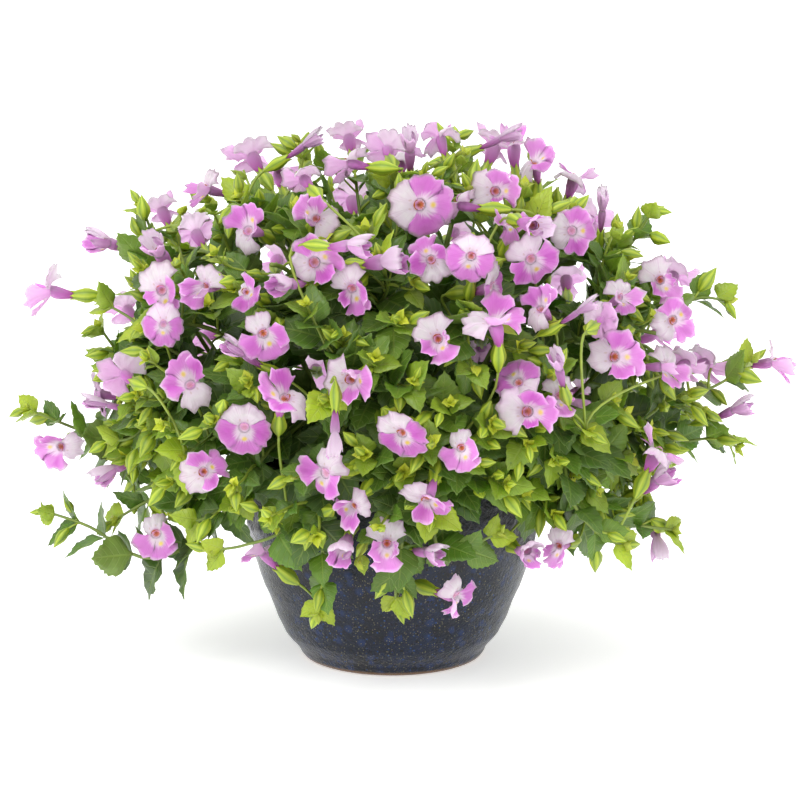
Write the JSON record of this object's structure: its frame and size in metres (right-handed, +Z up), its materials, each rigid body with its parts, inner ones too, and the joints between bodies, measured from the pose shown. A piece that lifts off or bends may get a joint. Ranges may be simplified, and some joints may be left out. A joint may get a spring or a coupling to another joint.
{
  "type": "potted wishbone flower",
  "caption": "Mounding wishbone flower plant with two-lipped pink blooms, winged calyces and toothed leaves, in a round glazed pot with soil.",
  "frame": {"origin": "on the ground, under the middle of the pot and of the plant", "axes": "+Z up out of the soil, the front of the plant faces -Y, +X runs to the right across its longest extent"},
  "size_m": [0.5204, 0.4053, 0.3608],
  "materials": {
    "glaze": "gloss",
    "soil": "matte",
    "foliage": "satin",
    "petals": "matte"
  },
  "bodies": {
    "root": {"pot": "glaze", "soil": "soil", "leafy_stem_01": "foliage", "leafy_stem_02": "foliage", "leafy_stem_03": "foliage", "leafy_stem_04": "foliage", "leafy_stem_05": "foliage", "leafy_stem_06": "foliage", "leafy_stem_07": "foliage", "leafy_stem_08": "foliage", "leafy_stem_09": "foliage", "leafy_stem_10": "foliage", "leafy_stem_11": "foliage", "leafy_stem_12": "foliage", "leafy_stem_13": "foliage", "leafy_stem_14": "foliage", "leafy_stem_15": "foliage", "leafy_stem_16": "foliage", "leafy_stem_17": "foliage", "leafy_stem_18": "foliage", "leafy_stem_19": "foliage", "leafy_stem_20": "foliage", "leafy_stem_21": "foliage", "leafy_stem_22": "foliage", "bloom_01": "petals", "bloom_02": "petals", "bloom_03": "petals", "bloom_04": "petals", "bloom_05": "petals", "bloom_06": "petals", "bloom_07": "petals", "bloom_08": "petals", "bloom_09": "petals", "bloom_10": "petals", "bloom_11": "petals", "bloom_12": "petals", "bloom_13": "petals", "bloom_14": "petals", "bloom_15": "petals", "bloom_16": "petals", "bloom_17": "petals", "bloom_18": "petals", "bloom_19": "petals", "bloom_20": "petals", "bloom_21": "petals", "bloom_22": "petals", "bloom_23": "petals", "bloom_24": "petals", "bloom_25": "petals", "bloom_26": "petals", "bloom_27": "petals", "bloom_28": "petals", "bloom_29": "petals", "bloom_30": "petals", "bloom_31": "petals", "bloom_32": "petals", "bloom_33": "petals", "bloom_34": "petals"}
  },
  "joints": []
}
